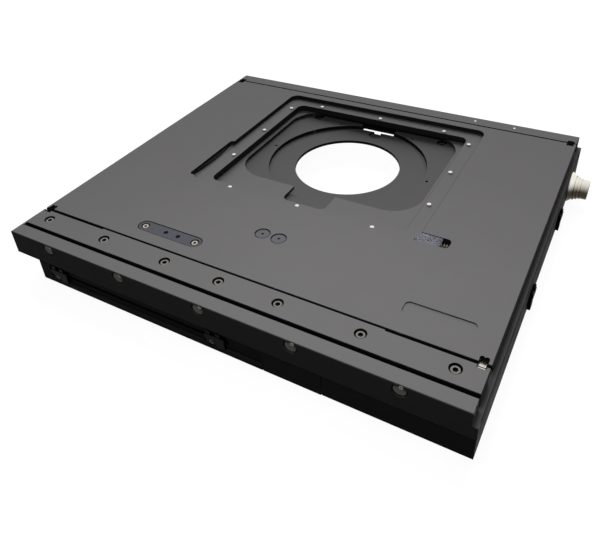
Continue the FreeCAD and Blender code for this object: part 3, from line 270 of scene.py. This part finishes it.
metalLines = {"scale": 4200, "detail": 3.0, "middle": 0.5, "toneSwing": 0.35, "roughSwing": 0.18,
              "bump": 0.15, "bumpDistance": 0.00002}


def makeMetal(name, look):
    material, tree, place, shader = startMaterial(name)
    mapping = addNode(tree, "ShaderNodeMapping", Scale=look["stretch"])
    tree.links.new(place, mapping.inputs["Vector"])
    lines = addNode(tree, "ShaderNodeTexNoise", Scale=metalLines["scale"], Detail=metalLines["detail"])
    tree.links.new(mapping.outputs["Vector"], lines.inputs["Vector"])
    swing = addMath(tree, "SUBTRACT", lines.outputs["Fac"], metalLines["middle"])
    tone = addMath(tree, "ADD", addMath(tree, "MULTIPLY", swing, metalLines["toneSwing"]), 1.0)
    shade = scaleColour(tree, look["colour"], tone)
    if "underShade" in look:  # painted shade and reflection: the plating darkens towards the underside
        parts = tree.nodes.new("ShaderNodeSeparateXYZ")
        tree.links.new(place, parts.inputs[0])
        height = addNode(tree, "ShaderNodeMapRange", {"interpolation_type": "SMOOTHSTEP"},
                         From_Min=look["underShadeLow"], From_Max=look["underShadeHigh"])
        tree.links.new(parts.outputs["Z"], height.inputs["Value"])
        shade = mixColours(tree, height.outputs["Result"], look["underShade"], shade)
    tree.links.new(shade, shader.inputs["Base Color"])
    rough = addMath(tree, "ADD", addMath(tree, "MULTIPLY", swing, metalLines["roughSwing"]), look["rough"])
    tree.links.new(rough, shader.inputs["Roughness"])
    shader.inputs["Metallic"].default_value = 1.0
    addBump(tree, shader, lines.outputs["Fac"], metalLines["bump"], metalLines["bumpDistance"])
    return material


plasticShades = {
    "cage_plastic": {"colour": (0.16, 0.15, 0.13), "rough": 0.5},
    "coil_resin": {"colour": (0.035, 0.035, 0.04), "rough": 0.35},
    "head_plastic": {"colour": (0.03, 0.03, 0.034), "rough": 0.45},
    "connector_plastic": {"colour": (0.022, 0.022, 0.022), "rough": 0.5},
}
plasticGrain = {"contrast": 0.3, "bump": 0.2, "bumpDistance": 0.00005}


def makePlastic(name, look):
    material, tree, place, shader = startMaterial(name)
    grain = useGroup(tree, blastGroup, place, Contrast=plasticGrain["contrast"], Roughness=look["rough"])
    tree.links.new(scaleColour(tree, look["colour"], grain.outputs["Tone"]), shader.inputs["Base Color"])
    tree.links.new(grain.outputs["Roughness"], shader.inputs["Roughness"])
    addBump(tree, shader, grain.outputs["Height"], plasticGrain["bump"], plasticGrain["bumpDistance"])
    return material


finishes = {}
makers = ((anodisedShades, makeAnodised), (metalShades, makeMetal), (plasticShades, makePlastic))
for shades, maker in makers:
    for slotName, look in shades.items():
        finishes[slotName] = maker(slotName, look)
# the cast clamp is coarser than the other fittings, and the large pieces carry painted shade on their upright
# walls
ownFinish = {"clamp_block": "clampCast", "hole_plugs": "plugGrey", "top_plate": "paintedShadePlate",
             "front_strip": "paintedShadePlate", "back_strip": "paintedShadePlate", "carriage_frame": "paintedShadeCarriage"}
for row in frame["record"]["subparts"]:
    mesh = nodes[row["node"]].data
    mesh.materials.clear()
    mesh.materials.append(finishes[ownFinish.get(row["node"], row["material_slot"])])
print("finishes made:", len(finishes))


# drawings are in millimetres, with x = 0 on the optical axis and y = 0 at the front face
metre = 1000
stageShift = Vector((-8.2, -143.6, 0.0))
upward = Matrix.Identity(4)
towardFront = Matrix.Rotation(math.radians(90), 4, "X")
towardRight = Matrix.Rotation(math.radians(90), 4, "Y")
towardLeft = Matrix.Rotation(math.radians(-90), 4, "Y")
fullTurn = 2 * math.pi
quarterTurn = math.pi / 2
mergeReach = 1e-7
sameRadius = 1e-6
sharpFrom = math.radians(32)
screwSteps = 48


def stagePlace(x, y, z, facing):
    return Matrix.Translation((Vector((x, y, z)) + stageShift) / metre) @ facing


def turnProfile(points, steps):
    bm = bmesh.new()
    verts = [bm.verts.new((radius / metre, 0, height / metre)) for radius, height in points]
    edges = [bm.edges.new(pair) for pair in zip(verts, verts[1:])]
    bmesh.ops.spin(bm, geom=verts + edges, cent=(0, 0, 0), axis=(0, 0, 1), angle=fullTurn, steps=steps,
                   use_merge=True)
    bmesh.ops.remove_doubles(bm, verts=bm.verts, dist=mergeReach)
    bmesh.ops.recalc_face_normals(bm, faces=bm.faces)
    return bm


def roundedEdge(radius, height, size, count=3):
    # points of a quarter round from a top face over to an upright wall
    turns = [quarterTurn * step / count for step in range(count + 1)]
    return [(radius - size + size * math.sin(turn), height - size + size * math.cos(turn)) for turn in turns]


def pressHexagon(bm, reach):
    # pushes the ring of this radius onto a hexagon, and marks what lies inside it for the second material,
    # painted shade inside the socket
    for face in bm.faces:
        if all(vert.co.xy.length < reach / metre + sameRadius for vert in face.verts):
            face.material_index = 1
    for vert in bm.verts:
        if abs(vert.co.xy.length - reach / metre) < sameRadius:
            turn = math.atan2(vert.co.y, vert.co.x) % (math.pi / 3)
            narrow = math.cos(math.pi / 6) / math.cos(turn - math.pi / 6)
            vert.co = (vert.co.x * narrow, vert.co.y * narrow, vert.co.z)


def addShape(whole, unit, places):
    shape = bpy.data.meshes.new("unit")
    unit.to_mesh(shape)
    unit.free()
    for place in places:
        first = len(whole.verts)
        whole.from_mesh(shape)
        whole.verts.ensure_lookup_table()
        bmesh.ops.transform(whole, matrix=place, verts=whole.verts[first:])
    bpy.data.meshes.remove(shape)


def repeatShape(unit, places):
    whole = bmesh.new()
    addShape(whole, unit, places)
    return whole


def addPiece(name, bm, node, body, slotName, inner="socketShadePainted", finish=None):
    for face in bm.faces:
        face.smooth = True
    for edge in bm.edges:
        edge.smooth = edge.calc_face_angle(0.0) < sharpFrom
    mesh = bpy.data.meshes.new(name)
    bm.to_mesh(mesh)
    bm.free()
    mesh.materials.append(finishes[finish or slotName])
    if any(face.material_index for face in mesh.polygons):
        mesh.materials.append(finishes[inner])
    piece = bpy.data.objects.new(name, mesh)
    bpy.context.scene.collection.objects.link(piece)
    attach(piece, body)
    if node:
        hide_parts(node)
    return piece


# socket screws: a head with a rounded rim, a hexagonal socket with a drilled floor, and a shank
stripScrews = {"head": 2.75, "height": 3.7, "rim": 0.4, "key": 1.6, "keyDepth": 1.9, "shank": 1.5, "length": 14.3,
               "middle": -0.95, "offsets": (-143, -92, -41, 0, 41, 92, 143), "y": 21.65, "top": 32.8}
accessoryScrews = {"head": 2.15, "height": 1.25, "rim": 0.3, "key": 1.15, "keyDepth": 0.75, "shank": 1.2,
                   "length": 3.7, "middle": -57.4, "offsets": (-20.65, 20.65), "y": 45.5, "top": 33.0,
                   "finish": "screwBright"}
clampScrew = {"head": 1.5, "height": 1.3, "rim": 0.25, "key": 0.75, "keyDepth": 0.7, "shank": 1.0, "length": 6.8,
              "middle": 95.7, "offsets": (0,), "y": 112.8, "top": 33.1}
keyChamfer = 0.16
drillSlope = 0.3
shankTip = 0.4


def socketPoints(look):
    # from the middle of the socket's floor up to its rim; heights count down from the top of the screw
    floor = -look["keyDepth"]
    return [(0, floor - look["key"] * drillSlope), (look["key"], floor), (look["key"], -keyChamfer),
            (look["key"] + keyChamfer, 0)]


def makeSocketScrews(name, look, node, body, slotName):
    points = socketPoints(look) + roundedEdge(look["head"], 0, look["rim"])
    points += [(look["head"], -look["height"]), (look["shank"], -look["height"])]
    points += [(look["shank"], shankTip - look["length"]), (look["shank"] - shankTip, -look["length"]),
               (0, -look["length"])]
    unit = turnProfile(points, screwSteps)
    pressHexagon(unit, look["key"])
    places = [stagePlace(look["middle"] + offset, look["y"], look["top"], upward)
              for offset in look["offsets"]]
    addPiece(name, repeatShape(unit, places), node, body, slotName, finish=look.get("finish"))


makeSocketScrews("stripScrews", stripScrews, "strip_screws", "y_carriage", "screw_steel")
makeSocketScrews("accessoryScrews", accessoryScrews, "accessory_screws", "x_carriage", "screw_steel")
makeSocketScrews("clampScrew", clampScrew, "clamp_screw", "insert_clamp", "screw_steel")

# round-wire spring behind the clamp
clampSpring = {"radius": 1.45, "wire": 0.25, "pitch": 1.8, "start": 101.1, "end": 109.5, "y": 113.65, "z": 30.9,
               "wireSides": 10, "turnSteps": 24, "closed": 0.52}


def makeClampSpring():
    look = clampSpring
    run = look["end"] - look["start"] - 2 * look["wire"]
    turns = run / look["pitch"]
    steps = round(turns * look["turnSteps"])
    bm = bmesh.new()
    ring = bmesh.ops.create_circle(bm, segments=look["wireSides"], radius=look["wire"] / metre)["verts"]
    bmesh.ops.rotate(bm, verts=ring, cent=(0, 0, 0), matrix=Matrix.Rotation(math.radians(90), 3, "X"))
    bmesh.ops.translate(bm, verts=ring, vec=(look["radius"] / metre, 0, look["wire"] / metre))
    bmesh.ops.spin(bm, geom=bm.verts[:] + bm.edges[:], cent=(0, 0, 0), axis=(0, 0, 1), angle=fullTurn * turns,
                   dvec=(0, 0, run / steps / metre), steps=steps)
    bmesh.ops.holes_fill(bm, edges=bm.edges)
    bmesh.ops.recalc_face_normals(bm, faces=bm.faces)
    bmesh.ops.transform(bm, matrix=stagePlace(look["start"], look["y"], look["z"], towardRight), verts=bm.verts)
    piece = addPiece("clampSpring", bm, "clamp_spring", "x_carriage", "spring_steel", finish="springWire")
    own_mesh(piece)


makeClampSpring()

# set screws of the travel stops, each on its own stop
stopScrews = {"radius": 1.35, "key": 0.8, "keyDepth": 0.7, "rim": 0.2, "tip": 0.5, "length": 1.55,
              "height": 6.6}
stopPlaces = {"x_stop_left": (-121.6, -0.2, towardFront), "x_stop_right": (5.9, -0.2, towardFront),
              "y_stop_front": (162.1, 119.2, towardRight), "y_stop_back": (162.1, 207.4, towardRight)}


def makeStopScrew(stopName, x, y, facing):
    look = stopScrews
    points = socketPoints(look) + roundedEdge(look["radius"], 0, look["rim"])
    points += [(look["radius"], shankTip - look["length"]), (look["radius"] - look["tip"], -look["length"]),
               (0, -look["length"])]
    unit = turnProfile(points, screwSteps)
    pressHexagon(unit, look["key"])
    whole = repeatShape(unit, [stagePlace(x, y, look["height"], facing)])
    addPiece(stopName + "Screw", whole, stopName + "_screw", stopName, "screw_steel", finish="screw_black")


for stopName, (x, y, facing) in stopPlaces.items():
    makeStopScrew(stopName, x, y, facing)

# preload screws: a small bright screw at the bottom of a conical seat, in each bore of the front bar
preloadScrews = {"seat": 3.6, "seatTop": -0.8, "screw": 1.2, "screwTop": -2.1, "rim": 0.25, "seatLow": -2.8,
                 "key": 0.65, "keyDepth": 0.6, "back": -7.3, "shank": 2.1, "length": 12.0, "middle": -0.95,
                 "step": 61.2, "steps": (-2, -1, 0, 1, 2), "z": 28.85}


def makePreloadScrews():
    look = preloadScrews
    points = [(radius, height + look["screwTop"]) for radius, height in socketPoints(look)]
    points += roundedEdge(look["screw"], look["screwTop"], look["rim"])
    points += [(look["screw"], look["seatLow"]), (look["seat"], look["seatTop"]), (look["seat"], look["back"])]
    points += [(look["shank"], look["back"]), (look["shank"], -look["length"]), (0, -look["length"])]
    unit = turnProfile(points, screwSteps)
    pressHexagon(unit, look["key"])
    for face in unit.faces:
        middle = face.calc_center_median()
        inside = middle.xy.length < look["screw"] / metre
        face.material_index = int(inside and middle.z > look["seatLow"] / metre)
    places = [stagePlace(look["middle"] + look["step"] * step, 0, look["z"], towardFront)
              for step in look["steps"]]
    whole = repeatShape(unit, places)
    addPiece("preloadScrews", whole, "preload_screws", "y_carriage", "screw_black", inner="screw_steel")


makePreloadScrews()

# levelling pins with domed heads, around the frame of the opening
levellingPins = {"head": 1.5, "headHeight": 1.15, "radius": 1.25, "dome": 0.25, "domeSteps": 6, "tip": 0.3,
                 "top": 31.1, "length": 5.9, "turnSteps": 32, "middle": 0.5, "sideX": 81.4,
                 "sideY": (153.9, 200.1, 246.3), "endX": (-56.8, 0, 56.8), "endY": (112.9, 259.7)}


def makeLevellingPins():
    look = levellingPins
    turns = [quarterTurn * step / look["domeSteps"] for step in range(look["domeSteps"] + 1)]
    points = [(look["head"] * math.sin(turn), look["dome"] * (math.cos(turn) - 1)) for turn in turns]
    points += [(look["head"], -look["headHeight"]), (look["radius"], -look["headHeight"])]
    points += [(look["radius"], look["tip"] - look["length"]), (look["radius"] - look["tip"], -look["length"]),
               (0, -look["length"])]
    spots = [(look["middle"] + look["sideX"] * hand, y) for hand in (-1, 1) for y in look["sideY"]]
    spots += [(look["middle"] + x, y) for x in look["endX"] for y in look["endY"]]
    places = [stagePlace(x, y, look["top"], upward) for x, y in spots]
    whole = repeatShape(turnProfile(points, look["turnSteps"]), places)
    addPiece("levellingPins", whole, "levelling_screws", "x_carriage", "pin_steel")


makeLevellingPins()

# stops that close the left ends of the rail grooves, each with its set screw
railEnds = {"left": -157.2, "right": -151.3, "low": 25.3, "high": 30.3,
            "plateDepths": ((31.4, 35.9), (270.1, 274.6)), "stripDepths": ((25.5, 30.0), (276.0, 280.5)),
            "seals": ((30.3, 31.0), (275.0, 275.7)), "sealRight": -155.7, "sealTop": 33.2, "sealBevel": 0.15,
            "bevel": 0.4, "screw": 1.2, "proud": 0.2, "key": 0.7, "keyDepth": 0.5, "rim": 0.2, "length": 2.0}
bevelSteps = 2


def addBlock(whole, low, high, bevel):
    block = bmesh.new()
    bmesh.ops.create_cube(block, size=1 / metre)
    bmesh.ops.scale(block, vec=Vector(high) - Vector(low), verts=block.verts)
    bmesh.ops.bevel(block, geom=block.edges, offset=bevel / metre, segments=bevelSteps, profile=0.5,
                    affect="EDGES", material=-1)
    addShape(whole, block, [stagePlace(*((Vector(low) + Vector(high)) / 2), upward)])


def makeRailEnds(name, depths, body, seals=()):
    look = railEnds
    whole = bmesh.new()
    middleZ = (look["low"] + look["high"]) / 2
    for front, back in seals:  # a thin tongue that closes the end of the slit
        addBlock(whole, (look["left"], front, look["low"]), (look["sealRight"], back, look["sealTop"]),
                 look["sealBevel"])
    for front, back in depths:
        addBlock(whole, (look["left"], front, look["low"]), (look["right"], back, look["high"]), look["bevel"])
        points = socketPoints(look) + roundedEdge(look["screw"], 0, look["rim"])
        points += [(look["screw"], -look["length"]), (0, -look["length"])]
        screw = turnProfile(points, screwSteps)
        pressHexagon(screw, look["key"])
        place = stagePlace(look["left"] - look["proud"], (front + back) / 2, middleZ, towardLeft)
        addShape(whole, screw, [place])
    addPiece(name, whole, None, body, "stop_black")


makeRailEnds("plateRailEnds", railEnds["plateDepths"], "x_carriage")
makeRailEnds("stripRailEnds", railEnds["stripDepths"], "y_carriage", railEnds["seals"])

# oval plate, taken from its CAD node with a little more room round its edge and its screw heads
ovalPlate = {"middle": -57.4, "y": 45.5, "half": 20.65, "edge": 4.6, "edgeGap": 0.3, "bore": 1.8, "seat": 3.2,
             "seatGap": 0.3, "merge": 1e-6}


def makeOvalPlate():
    look = ovalPlate
    bm = bmesh.new()
    bm.from_mesh(nodes["accessory_plate"].data)
    bmesh.ops.remove_doubles(bm, verts=bm.verts, dist=look["merge"])
    bmesh.ops.recalc_face_normals(bm, faces=bm.faces)
    middle = (Vector((look["middle"], look["y"], 0)) + stageShift) / metre
    half = look["half"] / metre
    for vert in bm.verts:
        offset = vert.co - middle
        nearest = Vector((min(max(offset.x, -half), half), 0, offset.z))
        reach = offset - nearest
        if reach.length > look["edge"] / metre:
            vert.co -= reach.normalized() * look["edgeGap"] / metre
            continue
        for hand in (-1, 1):
            ring = Vector((offset.x - half * hand, offset.y, 0))
            if look["bore"] / metre < ring.length < look["seat"] / metre:
                vert.co += ring.normalized() * look["seatGap"] / metre
    addPiece("accessoryPlate", bm, "accessory_plate", "x_carriage", "fitting_grey")


makeOvalPlate()

# plugs pressed into the two round holes, with a broken rim and a small pull hole
holePlugs = {"radius": 4.85, "rim": 0.45, "hole": 0.9, "holeRim": 0.15, "holeDepth": 0.7, "thickness": 0.95,
             "turnSteps": 64, "y": 72.4, "xs": (-2.0, 10.2), "top": 33.25}


def makeHolePlugs():
    look = holePlugs
    points = [(0, -look["holeDepth"]), (look["hole"], -look["holeDepth"]), (look["hole"], -look["holeRim"])]
    points += [(look["hole"] + look["holeRim"], 0), (look["radius"] - look["rim"], 0)]
    points += [(look["radius"], -look["rim"]), (look["radius"], -look["thickness"]), (0, -look["thickness"])]
    places = [stagePlace(x, look["y"], look["top"], upward) for x in look["xs"]]
    whole = repeatShape(turnProfile(points, look["turnSteps"]), places)
    addPiece("holePlugs", whole, "hole_plugs", "x_carriage", "fitting_grey", finish="plugGrey")


makeHolePlugs()

# round socket on the right side: rounded ridges that fall towards a plain barrel, the first one knurled
connectorLook = {"flange": 11.4, "sheet": 0.9, "ridges": ((9.35, 4.15), (8.6, 6.3), (7.85, 8.45)), "ridge": 0.55,
                 "round": 0.28, "groove": 0.75, "grooveRise": 0.55, "grooveLead": 0.35, "grooveTail": 0.3,
                 "barrel": 7.3, "reach": 13.4, "wall": 1.0, "floor": 4.0, "neck": 3.6, "tail": 8.5, "edge": 0.25,
                 "lip": ((0.0, 0.35), (0.12, 0.1), (0.35, 0.0)), "knurl": 0.965, "turnSteps": 96,
                 "x": 160.5, "y": 247.5, "z": 12.0}


def makeConnector():
    look = connectorLook
    inner = look["barrel"] - look["wall"]
    points = [(0, -look["tail"]), (look["neck"], -look["tail"]), (look["neck"], 0), (look["flange"], 0)]
    points += [(look["flange"], look["sheet"] - look["edge"]), (look["flange"] - look["edge"], look["sheet"])]
    for radius, height in look["ridges"]:
        lower = height - look["ridge"]
        upper = height + look["ridge"]
        points += [(radius - look["groove"] + look["grooveRise"], lower - look["grooveLead"])]
        points += [(radius - look["round"], lower), (radius, lower + look["round"])]
        points += [(radius, upper - look["round"]), (radius - look["round"], upper)]
        if radius - look["groove"] > look["barrel"]:
            points += [(radius - look["groove"], upper + look["grooveTail"])]
    points += [(look["barrel"], upper)]
    points += [(look["barrel"] - inset, look["reach"] - drop) for inset, drop in look["lip"]]
    points += [(inner + look["edge"], look["reach"]), (inner, look["reach"] - look["edge"])]
    points += [(inner, look["floor"]), (0, look["floor"])]
    unit = turnProfile(points, look["turnSteps"])
    first = look["ridges"][0][0] / metre
    for vert in unit.verts:
        step = round(math.atan2(vert.co.y, vert.co.x) * look["turnSteps"] / fullTurn)
        if abs(vert.co.xy.length - first) < sameRadius and step % 2:
            vert.co = (vert.co.x * look["knurl"], vert.co.y * look["knurl"], vert.co.z)
    whole = repeatShape(unit, [stagePlace(look["x"], look["y"], look["z"], towardRight)])
    addPiece("connectorShell", whole, "connector_shell", "y_carriage", "connector_nickel")


makeConnector()
print("fittings modelled")


# studio: pale floor, white surroundings, a wide soft light from behind and a small one above the front bar
floorSetup = {"size": 6.0, "seenColour": 0.14, "bounceColour": 0.03, "glow": 0.95, "rough": 0.9}
skySetup = {"seen": 1.0, "ambient": 0.035}
keySetup = {"from": (-0.354, 0.760, 0.545), "strength": 4.2, "spread": 58}
frontSetup = {"place": (0.06, -0.13, 0.3), "power": 0.27, "size": 0.12}


def seenDirectly(tree):
    path = tree.nodes.new("ShaderNodeLightPath")
    rays = [path.outputs[name] for name in ("Is Camera Ray", "Is Glossy Ray", "Is Transmission Ray")]
    return addMath(tree, "MAXIMUM", addMath(tree, "MAXIMUM", rays[0], rays[1]), rays[2])


def makeFloor():
    bm = bmesh.new()
    bmesh.ops.create_grid(bm, x_segments=1, y_segments=1, size=floorSetup["size"] / 2)
    mesh = bpy.data.meshes.new("floor")
    bm.to_mesh(mesh)
    bm.free()
    material = bpy.data.materials.new("paleFloor")
    tree = newTree(material)
    seen = seenDirectly(tree)
    shader = addNode(tree, "ShaderNodeBsdfPrincipled", Roughness=floorSetup["rough"])
    shader.inputs["Specular IOR Level"].default_value = 0.0
    dim = (floorSetup["bounceColour"],) * 3
    pale = (floorSetup["seenColour"],) * 3
    tree.links.new(mixColours(tree, seen, dim, pale), shader.inputs["Base Color"])
    shader.inputs["Emission Color"].default_value = (1, 1, 1, 1)
    tree.links.new(addMath(tree, "MULTIPLY", seen, floorSetup["glow"]), shader.inputs["Emission Strength"])
    output = tree.nodes.new("ShaderNodeOutputMaterial")
    tree.links.new(shader.outputs["BSDF"], output.inputs["Surface"])
    mesh.materials.append(material)
    floor = bpy.data.objects.new("floor", mesh)
    bpy.context.scene.collection.objects.link(floor)


def makeSky():
    world = bpy.data.worlds.new("surroundings")
    bpy.context.scene.world = world
    tree = newTree(world)
    seen = seenDirectly(tree)
    gain = addMath(tree, "MULTIPLY", seen, skySetup["seen"] - skySetup["ambient"])
    light = addNode(tree, "ShaderNodeBackground", Color=(1, 1, 1, 1))
    tree.links.new(addMath(tree, "ADD", gain, skySetup["ambient"]), light.inputs["Strength"])
    output = tree.nodes.new("ShaderNodeOutputWorld")
    tree.links.new(light.outputs["Background"], output.inputs["Surface"])


def makeKeyLight():
    lamp = bpy.data.lights.new("softKey", "SUN")
    lamp.energy = keySetup["strength"]
    lamp.angle = math.radians(keySetup["spread"])
    holder = bpy.data.objects.new("softKey", lamp)
    holder.rotation_euler = Vector(keySetup["from"]).to_track_quat("Z", "Y").to_euler()
    holder.visible_glossy = False  # metal mirrors the white surroundings, not the lamp
    bpy.context.scene.collection.objects.link(holder)


def makeFrontLight():
    lamp = bpy.data.lights.new("frontFill", "AREA")
    lamp.energy = frontSetup["power"]
    lamp.size = frontSetup["size"]
    holder = bpy.data.objects.new("frontFill", lamp)
    holder.location = frontSetup["place"]
    holder.visible_glossy = False
    holder.visible_camera = False
    bpy.context.scene.collection.objects.link(holder)


makeFloor()
makeSky()
makeKeyLight()
makeFrontLight()
print("studio lit")


# camera at the photograph's place; the shift takes up its off-centre framing
cameraSetup = {"location": (0.17737, -0.33190, 0.27573), "turn": (56.4916, 2.7179, 29.4338),
               "lens": 36.71, "sensor": 36.0, "shiftX": 0.0057, "shiftY": -0.12895, "near": 0.01}


def makeCamera():
    data = bpy.data.cameras.new("photoCamera")
    data.lens = cameraSetup["lens"]
    data.sensor_width = cameraSetup["sensor"]
    data.shift_x = cameraSetup["shiftX"]
    data.shift_y = cameraSetup["shiftY"]
    data.clip_start = cameraSetup["near"]
    camera = bpy.data.objects.new("photoCamera", data)
    camera.location = cameraSetup["location"]
    camera.rotation_euler = [math.radians(turn) for turn in cameraSetup["turn"]]
    bpy.context.scene.collection.objects.link(camera)
    bpy.context.scene.camera = camera


makeCamera()
bpy.context.scene.view_settings.view_transform = "Standard"
print("camera set")
